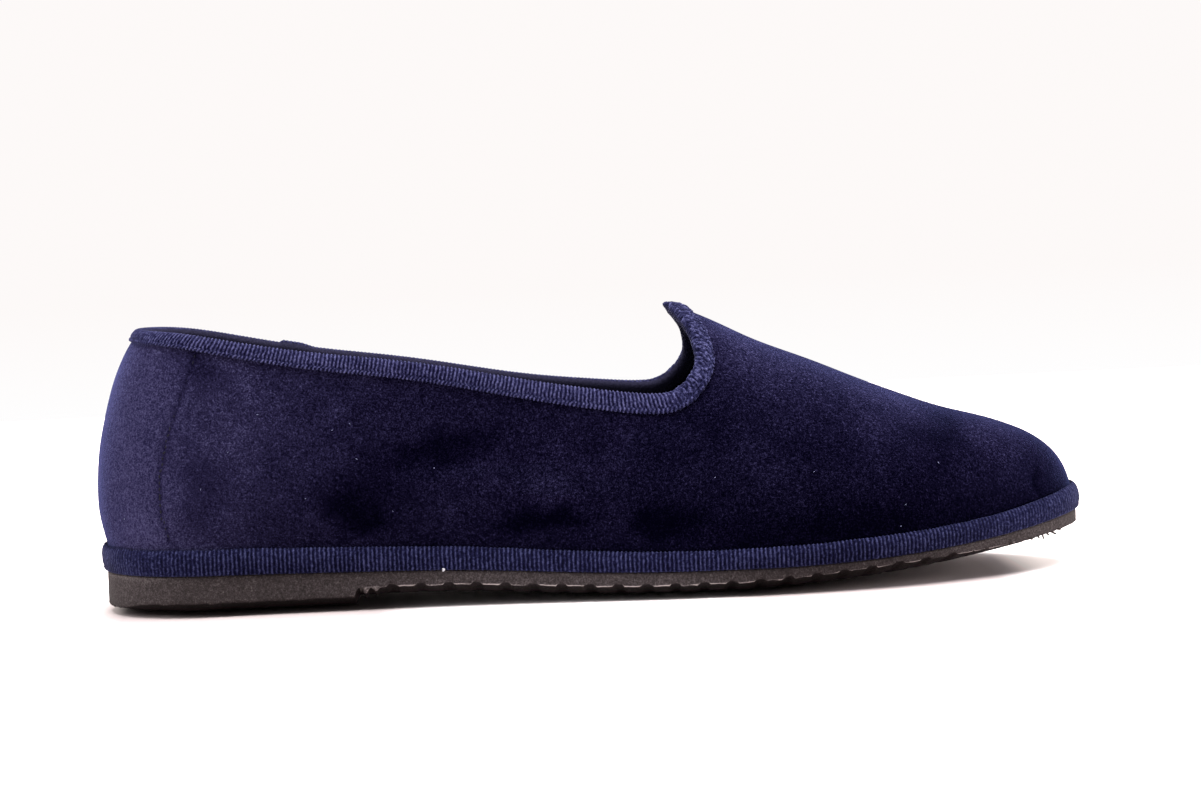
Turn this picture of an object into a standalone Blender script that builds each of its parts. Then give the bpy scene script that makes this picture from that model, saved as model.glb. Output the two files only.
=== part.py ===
"""Velvet slipper loafer: a low slip-on with a heart-shaped throat, ribbed tape round its
topline and its sole edge, and a thin rubber sole with a low heel.

Every size below is in millimetres. A station is a distance from the rearmost point of the
shoe, measured towards the toe. The toe points to +X, the outer side of the foot to -Y, and
the shoe stands on z = 0.
"""

import bpy
import numpy as np

MM = 0.001


def table(names, *rows):
    """Rows of numbers as dictionaries, one key for each column name."""
    return [dict(zip(names.split(), row)) for row in rows]


LENGTH = 266.4           # over the tape at heel and toe
HEEL_STATION = 2.1       # lowest edge of the upper at the back
TOE_STATION = 264.6      # lowest edge of the upper at the toe
GAP = 0.3                # clearance between two pieces that touch
WALL = 1.6               # velvet and lining together
TAPE = 0.7               # thickness of the ribbed tape on the topline
TAPE_INSIDE = 3.6        # how far the topline tape reaches down inside
RUBBER_LEDGE = 0.9       # how far the rubber stands out past the upper's lowest edge
INSOLE_THICK = 3.2
COUNTER_THICK = 0.9
COUNTER_TURN = 0.170     # where the row of stitches holds the inner counter
HEEL_BLOCK = 68.0        # station of the heel's front face
CROWN_WIDTH = 14.0       # margin of the underside that rises towards the sides
LUG_PITCH = 7.4          # grooves of the tread, cut in from the sides
LUG_GROOVE = 2.8
LUG_DEPTH = 0.7
LUGS_START, LUGS_END = 76.0, 232.0

HEEL_CAP = 30.0          # length over which the outline closes at the heel
TOE_CAP = 62.0           # and at the toe
TOE_CAP_POWER = 2.3
NOSE = 16.0              # length over which the toe rounds down to the sole
NOSE_POWER = 2.4
SWING = 5.0              # how far the toe lies towards the inner side
SWING_START = 140.0
MIDDLE = 1.3             # from the heel's centre line to the middle of the whole outline
LEAN_REACH = 67.0        # length of the heel that follows the curve of its back
BELLY_START = 6.5        # height above the sole where the sides begin to stand out

COLUMNS = 38             # columns of faces along each side
ROWS = 11                # rows of faces from the sole to the topline

# Cross-sections of the last. outer and inner are half widths at the sole before the ends
# are rounded off, ridge is the height of the last's top line, square is the exponent of
# the section's arch and belly is how far the side stands out over the sole.
SECTIONS = table(
    "station outer inner ridge square belly",
    (2, 33.0, 33.0, 101.2, 2.30, 1.0),
    (30, 30.5, 30.5, 102.2, 2.30, 1.4),
    (65, 31.0, 29.0, 103.2, 2.30, 2.2),
    (100, 33.5, 28.0, 99.2, 2.30, 2.6),
    (135, 38.8, 31.8, 86.7, 2.20, 2.2),
    (155, 42.2, 36.0, 75.9, 2.15, 1.6),
    (165, 43.2, 38.5, 71.5, 2.15, 1.4),
    (178, 44.0, 41.2, 65.0, 2.15, 1.2),
    (197, 43.2, 43.0, 56.8, 2.15, 1.0),
    (217, 39.8, 42.0, 48.5, 2.20, 0.9),
    (231, 36.3, 39.5, 43.3, 2.20, 0.8),
    (245, 33.2, 36.5, 38.9, 2.25, 0.6),
    (252, 31.9, 35.0, 36.2, 2.25, 0.5),
    (265, 29.5, 32.0, 33.6, 2.30, 0.4),
)
# The rubber sole along its length, without heel block and tread: underside along the
# middle, underside along the sides, which stand clear of the floor, top, and height of
# the ribbed tape above it.
SOLE = table(
    "station pad edge top band",
    (0, 2.4, 5.6, 10.8, 6.7),
    (30, 2.4, 5.6, 10.5, 6.7),
    (70, 2.4, 5.6, 9.8, 6.3),
    (100, 2.0, 5.2, 9.0, 5.9),
    (125, 0.5, 3.8, 7.6, 5.5),
    (145, -0.1, 3.2, 6.9, 5.2),
    (165, -0.1, 3.2, 6.7, 5.1),
    (185, 0.5, 3.9, 6.7, 5.4),
    (205, 1.6, 5.3, 7.4, 5.6),
    (225, 3.2, 6.5, 8.8, 5.5),
    (245, 5.4, 8.2, 11.1, 5.8),
    (267, 8.4, 11.2, 15.0, 6.9),
)
# Curve of the heel's back: how far it leans towards the toe at each height.
BACK = table(
    "height lean",
    (11.0, 0.0),
    (17.8, -0.5),
    (25.2, -1.8),
    (34.2, -2.1),
    (42.2, -1.4),
    (51.8, 0.6),
    (63.2, 4.3),
    (71.2, 8.4),
    (83.2, 17.0),
)
# Edge of the velvet under the topline tape. turn runs from 0 at the heel's back, along
# either side, to 1 at the point of the throat. outer and inner are the heights on the two
# sides and tape is how far the tape reaches down outside.
TOPLINE = table(
    "turn station outer inner tape",
    (0.000, 2.1, 74.2, 74.2, 3.0),
    (0.090, 8.0, 74.0, 73.8, 3.0),
    (0.167, 20.0, 73.1, 72.6, 3.1),
    (0.250, 40.0, 69.9, 69.2, 3.3),
    (0.320, 62.0, 66.5, 65.3, 3.6),
    (0.390, 88.0, 62.9, 61.3, 3.9),
    (0.455, 115.0, 57.5, 56.1, 4.2),
    (0.510, 134.0, 54.2, 53.6, 4.6),
    (0.560, 147.6, 52.5, 52.4, 4.8),
    (0.620, 156.2, 54.2, 54.1, 4.6),
    (0.670, 160.7, 59.1, 59.0, 4.1),
    (0.725, 161.5, 64.2, 64.2, 3.7),
    (0.790, 160.5, 69.1, 69.1, 3.6),
    (0.860, 158.6, 72.6, 72.6, 3.7),
    (1.000, 156.4, 75.3, 75.3, 4.2),
)


class Curve:
    """Natural cubic spline through one column of a table, by the table's first column."""

    def __init__(self, rows, column):
        key = next(iter(rows[0]))
        x = np.array([row[key] for row in rows], float)
        y = np.array([row[column] for row in rows], float)
        count, step = len(x), np.diff(x)
        matrix, right = np.eye(count), np.zeros(count)
        for i in range(1, count - 1):
            matrix[i, i - 1 : i + 2] = step[i - 1], 2 * (step[i - 1] + step[i]), step[i]
            right[i] = 6 * ((y[i + 1] - y[i]) / step[i] - (y[i] - y[i - 1]) / step[i - 1])
        self.x, self.y, self.step = x, y, step
        self.bend = np.linalg.solve(matrix, right)

    def __call__(self, at):
        at = np.clip(np.asarray(at, float), self.x[0], self.x[-1])
        i = np.clip(np.searchsorted(self.x, at) - 1, 0, len(self.x) - 2)
        before, after, width = at - self.x[i], self.x[i + 1] - at, self.step[i]
        return (
            (self.bend[i] * after**3 + self.bend[i + 1] * before**3) / (6 * width)
            + (self.y[i] / width - self.bend[i] * width / 6) * after
            + (self.y[i + 1] / width - self.bend[i + 1] * width / 6) * before
        )


outer_width = Curve(SECTIONS, "outer")
inner_width = Curve(SECTIONS, "inner")
ridge_height = Curve(SECTIONS, "ridge")
squareness = Curve(SECTIONS, "square")
belly_depth = Curve(SECTIONS, "belly")
pad_curve = Curve(SOLE, "pad")
edge_curve = Curve(SOLE, "edge")
top_curve = Curve(SOLE, "top")
back_lean = Curve(BACK, "lean")
topline_station = Curve(TOPLINE, "station")
outer_topline = Curve(TOPLINE, "outer")
inner_topline = Curve(TOPLINE, "inner")
tape_reach = Curve(TOPLINE, "tape")
band_height = Curve(SOLE, "band")


def ease(value):
    """A smooth step from 0 to 1."""
    value = np.clip(value, 0, 1)
    return value * value * (3 - 2 * value)


def end_rounding(station):
    """Share of the full width that is left where the outline closes at heel and toe."""
    heel = np.clip(1 - (station - HEEL_STATION) / HEEL_CAP, 0, 1)
    toe = np.clip(1 - (TOE_STATION - station) / TOE_CAP, 0, 1)
    return np.sqrt(1 - heel**2) * np.sqrt(np.clip(1 - toe**TOE_CAP_POWER, 0, 1))


def centre_line(station):
    """Sideways place of the last's centre line, which bends inwards at the toe."""
    swing = SWING * ease((station - SWING_START) / (LENGTH - SWING_START))
    return swing - MIDDLE


def half_width(station, side):
    """Half width at the sole, on the outer side (-1) or the inner side (+1)."""
    width = np.where(np.asarray(side) < 0, outer_width(station), inner_width(station))
    return width * end_rounding(station)


def seat_height(station):
    """Height of the upper's lowest edge."""
    return top_curve(station) + GAP


def rise(station):
    """Height of the last above its lowest edge, rounded off at the toe."""
    nose = np.clip(1 - (TOE_STATION - station) / NOSE, 0, 1)
    full = ridge_height(station) - seat_height(station)
    return full * np.clip(1 - nose**NOSE_POWER, 0, 1) ** (1 / NOSE_POWER)


def last_point(station, across, side):
    """Point of the last's surface. across is 1 at the sole's edge and 0 on the ridge."""
    square = squareness(station)
    seat = seat_height(station)
    height = seat + rise(station) * np.clip(1 - across**square, 0, 1) ** (1 / square)
    over = np.clip((height - seat - BELLY_START) / 20, 0, None)
    belly = belly_depth(station) * (over * np.exp(1 - over)) ** 1.5
    reach = half_width(station, side) + belly * end_rounding(station)
    y = centre_line(station) + side * reach * across
    fade = np.clip(1 - (station - HEEL_STATION) / LEAN_REACH, 0, 1) ** 1.5
    x = station + back_lean(height) * fade - LENGTH / 2
    return np.stack(np.broadcast_arrays(x, y, height), -1)


def upper_point(ring, level):
    """Point of the upper's outer surface. ring runs from 0 at the heel's back along the
    outer side to 1 at the toe and back along the inner side to 2; level runs from 0 at
    the sole to 1 at the topline."""
    ring, level = np.broadcast_arrays(np.mod(ring, 2.0), np.asarray(level, float))
    side = np.where(ring <= 1, -1.0, 1.0)
    turn = np.where(ring <= 1, ring, 2 - ring)
    low = HEEL_STATION + (TOE_STATION - HEEL_STATION) * (1 - np.cos(np.pi * turn)) / 2
    top = topline_station(turn)
    square = squareness(top)
    height = np.where(side < 0, outer_topline(turn), inner_topline(turn))
    share = (height - seat_height(top)) / rise(top)
    top_across = (1 - np.clip(share, 0, 1) ** square) ** (1 / square)
    angle = np.arccos(np.clip(top_across, 0, 1) ** (square / 2))
    wall_across = np.cos(angle * level) ** (2 / square)
    along = (1 - wall_across) / np.maximum(1 - top_across, 1e-9)
    station = low + (top - low) * along
    low_y = half_width(low, side) + side * centre_line(low)
    top_y = half_width(top, side) * top_across + side * centre_line(top)
    plan_y = low_y + (top_y - low_y) * along - side * centre_line(station)
    plan_across = np.clip(plan_y / np.maximum(half_width(station, side), 1e-6), 0, 1)
    plan_across = np.where(level <= 0, 1.0, plan_across)
    vamp = ease((turn - 0.40) / 0.15)
    across = wall_across + (plan_across - wall_across) * vamp
    return last_point(station, across, side)


def unit(vectors):
    return vectors / np.maximum(np.linalg.norm(vectors, axis=-1, keepdims=True), 1e-12)


def along_ring(ring, level):
    step = 1e-4
    return unit(upper_point(ring + step, level) - upper_point(ring - step, level))


def up_wall(ring, level):
    step = 1e-4
    level = np.asarray(level, float)
    low, high = np.clip(level - step, 0, 1), np.clip(level + step, 0, 1)
    return unit(upper_point(ring, high) - upper_point(ring, low))


def outward(ring, level):
    """Outward normal of the upper, level with the floor along its lowest edge."""
    normal = np.cross(along_ring(ring, level), up_wall(ring, level))
    normal[..., 2] = np.where(np.asarray(level) <= 0, 0.0, normal[..., 2])
    return unit(normal)


def offset_point(ring, level, distance):
    """Point that far outside the upper's outer surface, or inside it if negative."""
    distance = np.asarray(distance, float)[..., None]
    return upper_point(ring, level) + outward(ring, level) * distance


def level_below_topline(ring, distance):
    """Level of the point that lies that far from the topline, square to it."""
    levels = np.linspace(0.5, 1, 101)
    points = upper_point(ring, levels)
    steps = np.linalg.norm(np.diff(points, axis=0), axis=1)
    walked = np.concatenate([np.cumsum(steps[::-1])[::-1], [0.0]])
    sine = np.linalg.norm(np.cross(along_ring(ring, 1.0), up_wall(ring, 1.0)))
    return np.interp(-distance / max(sine, 0.6), -walked, levels)


def level_at_height(ring, above):
    """Level of the point that lies that far above the upper's lowest edge."""
    levels = np.linspace(0, 0.5, 101)
    heights = upper_point(ring, levels)[:, 2]
    return np.interp(heights[0] + above, heights, levels)


def new_object(name, points, faces, colour, roughness):
    """A solid of its own, with its material."""
    mesh = bpy.data.meshes.new(name)
    mesh.from_pydata([tuple(p) for p in np.asarray(points) * MM], [], faces)
    mesh.update()
    mesh.shade_smooth()
    mesh.set_sharp_from_angle(angle=np.radians(35))
    material = bpy.data.materials.new(name)
    material.use_nodes = True
    shader = material.node_tree.nodes["Principled BSDF"]
    shader.inputs["Base Color"].default_value = (*colour, 1)
    shader.inputs["Roughness"].default_value = roughness
    shader.inputs["Metallic"].default_value = 0.0
    mesh.materials.append(material)
    thing = bpy.data.objects.new(name, mesh)
    bpy.context.scene.collection.objects.link(thing)
    return thing


def grid_faces(columns, rows, start=0, flip=False, closed=True):
    """Quads between neighbouring columns of a grid whose columns hold rows points."""
    faces = []
    for i in range(columns if closed else columns - 1):
        here, there = start + i * rows, start + (i + 1) % columns * rows
        for j in range(rows - 1):
            quad = (here + j, there + j, there + j + 1, here + j + 1)
            faces.append(quad[::-1] if flip else quad)
    return faces


def shell(name, rings, levels, outer, inner, closed, colour, roughness):
    """A wall between two offsets of the upper, with one level per row, closed at its rims."""
    columns, rows = len(rings), levels.shape[1]
    flat_ring, flat_level = np.repeat(rings, rows), levels.ravel()
    outside = offset_point(flat_ring, flat_level, np.full(columns * rows, outer))
    inside = offset_point(flat_ring, flat_level, np.full(columns * rows, inner))
    points = np.concatenate([outside, inside])
    half = columns * rows
    faces = grid_faces(columns, rows, closed=closed)
    faces += grid_faces(columns, rows, half, flip=True, closed=closed)
    for i in range(columns if closed else columns - 1):
        here, there = i * rows, (i + 1) % columns * rows
        faces.append((there, here, here + half, there + half))
        here, there = here + rows - 1, there + rows - 1
        faces.append((here, there, there + half, here + half))
    if not closed:
        last = (columns - 1) * rows
        for j in range(rows - 1):
            faces.append((j, j + 1, j + 1 + half, j + half))
            faces.append((last + j + 1, last + j, last + j + half, last + j + 1 + half))
    return new_object(name, points, faces, colour, roughness)


def build_upper(rings):
    levels = np.tile(np.linspace(0, 1, ROWS + 1), (len(rings), 1))
    return shell("upper", rings, levels, 0.0, -WALL, True, (0.012, 0.011, 0.045), 0.9)


def build_counter():
    """The stiffener patch inside the heel, which the two rows of stitches hold."""
    rings = np.linspace(-COUNTER_TURN, COUNTER_TURN, 17)
    reach = TAPE_INSIDE + GAP + 0.4
    bottom = [level_at_height(ring, INSOLE_THICK + 3 * GAP) for ring in rings]
    top = [level_below_topline(ring, reach) for ring in rings]
    levels = np.linspace(bottom, top, 8).T
    outer = -WALL - GAP
    colour = (0.010, 0.010, 0.030)
    return shell(
        "heel_counter", rings, levels, outer, outer - COUNTER_THICK, False, colour, 0.85
    )


def build_binding(rings):
    """Tape folded over the upper's edge: a ring of one hooked section."""
    near, far = GAP, GAP + TAPE
    inner_near, inner_far = -WALL - GAP, -WALL - GAP - TAPE
    # Section of the folded tape: distance below the edge as a share of the tape's reach
    # outside (+) or inside (-), distance outwards, distance up.
    section = table(
        "below out up",
        (1.0, near, 0.0),
        (1.0, far, 0.0),
        (0.45, far + 0.1, 0.0),
        (0.0, far - 0.1, 0.3),
        (0.0, near - 0.5, 1.0),
        (0.0, inner_near + 0.5, 1.0),
        (0.0, inner_far + 0.1, 0.3),
        (-0.45, inner_far, 0.0),
        (-1.0, inner_far, 0.0),
        (-1.0, inner_near, 0.0),
        (-0.45, inner_near, 0.0),
        (0.0, inner_near, GAP),
        (0.0, near, GAP),
        (0.45, near, 0.0),
    )
    below = np.array([row["below"] for row in section])
    out = np.array([row["out"] for row in section])
    up = np.array([row["up"] for row in section])
    points = []
    for ring in rings:
        reach = np.where(below > 0, tape_reach(min(ring, 2 - ring)), -TAPE_INSIDE)
        levels = level_below_topline(ring, below * reach)
        place = offset_point(np.full(len(out), ring), levels, out)
        points.extend(place + up_wall(ring, 1.0) * up[:, None])
    count = len(section)
    faces = []
    for i in range(len(rings)):
        here, there = i * count, (i + 1) % len(rings) * count
        for j in range(count):
            k = (j + 1) % count
            faces.append((here + j, there + j, there + k, here + k))
    return new_object("topline_binding", points, faces, (0.03, 0.032, 0.10), 0.75)


def build_band(rings):
    """Ribbed tape round the sole edge, thickest at half its height."""
    section = table(
        "share thick",
        (0.00, 1.20),
        (0.13, 1.60),
        (0.50, 1.75),
        (0.78, 1.50),
        (0.93, 1.05),
        (1.00, 0.50),
    )
    share = np.array([row["share"] for row in section])
    thick = np.array([row["thick"] for row in section])
    points = []
    for ring in rings:
        normal, base = outward(ring, 0.0), upper_point(ring, 0.0)
        above = share * band_height(base[0] + LENGTH / 2)
        wall = upper_point(ring, level_at_height(ring, above))
        clear = (wall - base) @ normal + GAP
        rows = base + np.outer(above, (0, 0, 1))
        points.extend(rows + np.outer(clear + thick, normal))
        points.extend((rows + np.outer(clear, normal))[::-1])
    count = 2 * len(section)
    faces = []
    for i in range(len(rings)):
        here, there = i * count, (i + 1) % len(rings) * count
        for j in range(count):
            k = (j + 1) % count
            faces.append((here + j, there + j, there + k, here + k))
    return new_object("foxing_band", points, faces, (0.03, 0.032, 0.11), 0.75)


def turn_of(station):
    """Turn at which the upper's lowest edge passes a station."""
    share = (station - HEEL_STATION) / (TOE_STATION - HEEL_STATION)
    return np.arccos(1 - 2 * np.clip(share, 0, 1)) / np.pi


def even_stations(count):
    """Stations of evenly spaced turns, closer together towards the two ends."""
    turns = np.linspace(0, 1, count)
    return HEEL_STATION + (TOE_STATION - HEEL_STATION) * (1 - np.cos(np.pi * turns)) / 2


def plate(name, stations, rows, colour, roughness):
    """A flat piece with the shoe's outline, from rows that run round it. Each row has a
    reach past the upper's lowest edge and a height at every station; the first row bounds
    the top face and the last one the underside."""
    turns = turn_of(stations)
    count = len(turns)
    rings = np.concatenate([turns, (2 - turns)[-2:0:-1]])
    total = len(rings)
    points, faces = [], []
    for reach, heights in rows:
        edge = offset_point(rings, np.zeros(total), np.full(total, reach))
        edge[:, 2] = np.concatenate([heights, heights[-2:0:-1]])
        points.extend(edge)
    for j in range(len(rows) - 1):
        for i in range(total):
            k = (i + 1) % total
            high, low = j * total, (j + 1) * total
            faces.append((high + i, low + i, low + k, high + k))
    opposite = [(total - i) % total for i in range(count)]
    for start, flip in ((0, False), ((len(rows) - 1) * total, True)):
        for i in range(count - 1):
            corners = [i, i + 1, opposite[i + 1], opposite[i]]
            corners = [start + p for n, p in enumerate(corners) if p not in corners[:n]]
            faces.append(tuple(corners[::-1] if flip else corners))
    return new_object(name, points, faces, colour, roughness)


def build_insole():
    stations = even_stations(COLUMNS + 1)
    seat = seat_height(stations)
    low = -WALL - GAP
    rows = [
        (low - 1.6, seat + INSOLE_THICK),
        (low - 0.7, seat + INSOLE_THICK - 0.4),
        (low - 0.1, seat),
    ]
    return plate("insole", stations, rows, (0.012, 0.012, 0.030), 0.9)


def build_outsole():
    """Rubber sole and heel in one, its sides clear of the floor and notched by the tread."""
    stations = [s for s in even_stations(45) if s < LUGS_START - 3 or s > LUGS_END + 3]
    stations = [s for s in stations if abs(s - HEEL_BLOCK) > 2]
    stations += [HEEL_BLOCK - 0.3, HEEL_BLOCK + 0.3]
    grooves = []
    for start in np.arange(LUGS_START, LUGS_END, LUG_PITCH):
        stations += [start, start + 0.7, start + LUG_GROOVE - 0.7, start + LUG_GROOVE]
        grooves += [start + 0.7, start + LUG_GROOVE - 0.7]
    stations = np.array(sorted(stations))
    cut = np.array([LUG_DEPTH if s in grooves else 0.0 for s in stations])
    heel = stations < HEEL_BLOCK
    pad = np.where(heel, 0.0, np.maximum(pad_curve(stations), 0.0))
    edge = np.where(heel, edge_curve(0.0) - pad_curve(0.0), edge_curve(stations))
    top = top_curve(stations)
    rows = [
        (RUBBER_LEDGE - 0.3, top),
        (RUBBER_LEDGE, top - 0.4),
        (RUBBER_LEDGE, edge + cut + 0.5),
        (RUBBER_LEDGE - 0.5, edge + cut),
    ]
    for share, rest in ((0.30, 0.50), (0.62, 0.16)):
        reach = RUBBER_LEDGE - share * CROWN_WIDTH
        rows.append((reach, pad + (edge - pad) * rest + cut))
    rows.append((RUBBER_LEDGE - CROWN_WIDTH, pad))
    return plate("outsole", stations, rows, (0.045, 0.040, 0.037), 0.85)


def main():
    for thing in list(bpy.data.objects):
        bpy.data.objects.remove(thing)
    rings = np.arange(2 * COLUMNS) / COLUMNS
    build_outsole()
    build_upper(rings)
    build_insole()
    build_counter()
    build_binding(rings)
    build_band(rings)


main()
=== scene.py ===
"""Navy velvet slipper loafer, seen from its outer side, on a pale floor with a painted shadow.

Sizes are in millimetres unless a comment says otherwise. A station is a distance from the
rearmost point of the shoe, measured towards the toe. The last is that of the part's
source, so every piece fits the solid that it replaces.
"""

import math

import bpy
import numpy as np
from mathutils import Matrix, Vector, noise


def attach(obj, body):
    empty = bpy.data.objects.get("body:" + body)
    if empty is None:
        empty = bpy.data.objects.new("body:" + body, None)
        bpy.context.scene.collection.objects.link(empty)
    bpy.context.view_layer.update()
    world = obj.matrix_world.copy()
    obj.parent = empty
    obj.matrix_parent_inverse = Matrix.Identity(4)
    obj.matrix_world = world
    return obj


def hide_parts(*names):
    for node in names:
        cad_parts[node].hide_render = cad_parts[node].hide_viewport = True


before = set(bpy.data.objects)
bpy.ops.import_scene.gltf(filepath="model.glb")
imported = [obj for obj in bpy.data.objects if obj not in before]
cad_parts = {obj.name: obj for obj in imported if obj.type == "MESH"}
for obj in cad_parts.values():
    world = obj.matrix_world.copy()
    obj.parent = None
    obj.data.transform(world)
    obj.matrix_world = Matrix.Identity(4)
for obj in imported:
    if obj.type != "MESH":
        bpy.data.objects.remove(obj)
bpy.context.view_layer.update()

MM = 0.001


def table(names, *rows):
    """Named columns from rows of numbers."""
    return dict(zip(names.split(), np.array(rows, float).T))


def rows_of(columns):
    """The rows of a table again, one after the other."""
    return zip(*columns.values())


LENGTH = 266.4  # over the tape at heel and toe
HEEL_STATION = 2.1  # lowest edge of the upper at the back
TOE_STATION = 264.6  # lowest edge of the upper at the toe
GAP = 0.3  # clearance between two pieces that touch
WALL = 1.6  # velvet and lining together
TAPE = 0.7  # thickness of the ribbed tape on the topline
TAPE_INSIDE = 3.6  # how far the topline tape reaches down inside
INSOLE_THICK = 3.2
COUNTER_THICK = 0.9
COUNTER_TURN = 0.17  # where the row of stitches holds the inner counter
HEEL_BLOCK = 68.0  # station of the heel's front face
LUG_PITCH = 7.4  # grooves of the tread, cut in from the sides
LUG_GROOVE = 2.8
LUG_DEPTH = 0.7
LUG_SLOPE = 0.9  # length over which a groove's side slopes
LUGS_START, LUGS_END = 76.0, 232.0

HEEL_CAP = 30.0  # length over which the outline closes, at the heel
TOE_CAP = 62.0  # and at the toe
TOE_CAP_POWER = 2.3
NOSE = 16.0  # length over which the toe rounds down to the sole
NOSE_POWER = 2.4
SWING = 5.0  # how far the toe lies towards the inner side
SWING_START = 140.0
MIDDLE = 1.3  # from the heel's centre line to the middle of the outline
TIP_TURN = 0.97  # past it the topline runs straight over the ridge
LEAN_REACH = 67.0  # length of the heel that follows the curve of its back
VAMP_START, VAMP_END = 0.4, 0.55  # turns between which the rings fan out to the toe
BELLY_START = 6.5  # height above the sole where the sides begin to stand out
BELLY_RISE = 20.0  # and from there to where they stand out most

# Sections of the last: half widths at the sole before the ends are rounded off, height of
# the top line, exponent of the arch, and how far the side stands out.
SECTIONS = table(
    "station outer inner ridge square belly",
    (2, 33, 33, 101.2, 2.3, 1),
    (30, 30.5, 30.5, 102.2, 2.3, 1.4),
    (65, 31, 29, 103.2, 2.3, 2.2),
    (100, 33.5, 28, 99.2, 2.3, 2.6),
    (135, 38.8, 31.8, 86.7, 2.2, 2.2),
    (155, 42.2, 36, 75.9, 2.15, 1.6),
    (165, 43.2, 38.5, 71.5, 2.15, 1.4),
    (178, 44, 41.2, 65, 2.15, 1.2),
    (197, 43.2, 43, 56.8, 2.15, 1),
    (217, 39.8, 42, 48.5, 2.2, 0.9),
    (231, 36.3, 39.5, 43.3, 2.2, 0.8),
    (245, 33.2, 36.5, 38.9, 2.25, 0.6),
    (252, 31.9, 35, 36.2, 2.25, 0.5),
    (265, 29.5, 32, 33.6, 2.3, 0.4),
)
# The sole without heel block and tread: heights of its underside in the middle and at the
# sides and of its top, and height of the tape above it.
SOLE = table(
    "station pad edge top band",
    (0, 2.4, 5.6, 10.8, 6.7),
    (30, 2.4, 5.6, 10.5, 6.7),
    (70, 2.4, 5.6, 9.8, 6.3),
    (100, 2, 5.2, 9, 5.9),
    (125, 0.5, 3.8, 7.6, 5.5),
    (145, -0.1, 3.2, 6.9, 5.2),
    (165, -0.1, 3.2, 6.7, 5.1),
    (185, 0.5, 3.9, 6.7, 5.4),
    (205, 1.6, 5.3, 7.4, 5.6),
    (225, 3.2, 6.5, 8.8, 5.5),
    (245, 5.4, 8.2, 11.1, 5.8),
    (267, 8.4, 11.2, 15, 6.9),
)
# How far the heel's back leans towards the toe at each height.
BACK = table(
    "height lean",
    (11, 0),
    (17.8, -0.5),
    (25.2, -1.8),
    (34.2, -2.1),
    (42.2, -1.4),
    (51.8, 0.6),
    (63.2, 4.3),
    (71.2, 8.4),
    (83.2, 17),
)
# Edge of the velvet under the topline tape. turn runs from 0 at the heel's back to 1 at the
# point of the throat, outer and inner are heights, and tape is its reach downwards.
TOPLINE = table(
    "turn station outer inner tape",
    (0, 2.1, 74.2, 74.2, 3),
    (0.09, 8, 74, 73.8, 3),
    (0.167, 20, 73.1, 72.6, 3.1),
    (0.25, 40, 69.9, 69.2, 3.3),
    (0.32, 62, 66.5, 65.3, 3.6),
    (0.39, 88, 62.9, 61.3, 3.9),
    (0.455, 115, 57.5, 56.1, 4.2),
    (0.51, 134, 54.2, 53.6, 4.6),
    (0.56, 147.6, 52.5, 52.4, 4.8),
    (0.62, 156.2, 54.2, 54.1, 4.6),
    (0.67, 160.7, 59.1, 59, 4.1),
    (0.725, 161.5, 64.2, 64.2, 3.7),
    (0.79, 160.5, 69.1, 69.1, 3.6),
    (0.86, 158.6, 72.6, 72.6, 3.7),
    (1, 156.4, 75.3, 75.3, 4.2),
)


class Curve:
    """Natural cubic spline."""

    def __init__(self, x, y):
        count, step = len(x), np.diff(x)
        matrix, right = np.eye(count), np.zeros(count)
        for i in range(1, count - 1):
            matrix[i, i - 1 : i + 2] = step[i - 1], 2 * (step[i - 1] + step[i]), step[i]
            right[i] = 6 * ((y[i + 1] - y[i]) / step[i] - (y[i] - y[i - 1]) / step[i - 1])
        self.x, self.y, self.step = x, y, step
        self.bend = np.linalg.solve(matrix, right)

    def __call__(self, at):
        at = np.clip(np.asarray(at, float), self.x[0], self.x[-1])
        i = np.clip(np.searchsorted(self.x, at) - 1, 0, len(self.x) - 2)
        before, after, width = at - self.x[i], self.x[i + 1] - at, self.step[i]
        return (
            (self.bend[i] * after**3 + self.bend[i + 1] * before**3) / (6 * width)
            + (self.y[i] / width - self.bend[i] * width / 6) * after
            + (self.y[i + 1] / width - self.bend[i + 1] * width / 6) * before
        )


def curves(columns):
    """A curve by the table's first column for each of the others."""
    x, *others = columns.values()
    return [Curve(x, y) for y in others]


outer_width, inner_width, ridge_height, squareness, belly_depth = curves(SECTIONS)
pad_curve, edge_curve, top_curve, band_height = curves(SOLE)
topline_station, outer_topline, inner_topline, tape_reach = curves(TOPLINE)
back_lean = Curve(*BACK.values())
HEEL_EDGE = float(edge_curve(0.0) - pad_curve(0.0))  # lower edge of the heel block's sides


def ease(value, start=0.0, end=1.0):
    """A smooth step from 0 at the start to 1 at the end, which may be the smaller one."""
    share = np.clip((value - start) / (end - start), 0, 1)
    return share * share * (3 - 2 * share)


def bell(value, middle, width):
    """A smooth hump that is 1 at its middle."""
    return np.exp(-(((value - middle) / width) ** 2))


def station_of(points):
    return points[..., 0] + LENGTH / 2


def side_of(ring):
    """-1 on the outer side and 1 on the inner side."""
    return np.where(ring <= 1, -1.0, 1.0)


def turn_of(ring):
    """0 at the heel's back and 1 at the toe, on both sides."""
    return np.minimum(ring, 2 - ring)


def edge_station(turn):
    """Station of the upper's lowest edge."""
    return HEEL_STATION + (TOE_STATION - HEEL_STATION) * (1 - np.cos(np.pi * turn)) / 2


def end_rounding(station):
    """Share of the full width that is left where the outline closes."""
    heel = np.clip(1 - (station - HEEL_STATION) / HEEL_CAP, 0, 1)
    toe = np.clip(1 - (TOE_STATION - station) / TOE_CAP, 0, 1)
    return np.sqrt(1 - heel**2) * np.sqrt(np.clip(1 - toe**TOE_CAP_POWER, 0, 1))


def centre_line(station):
    """Sideways place of the centre line, which bends inwards at the toe."""
    return SWING * ease(station, SWING_START, LENGTH) - MIDDLE


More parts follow.
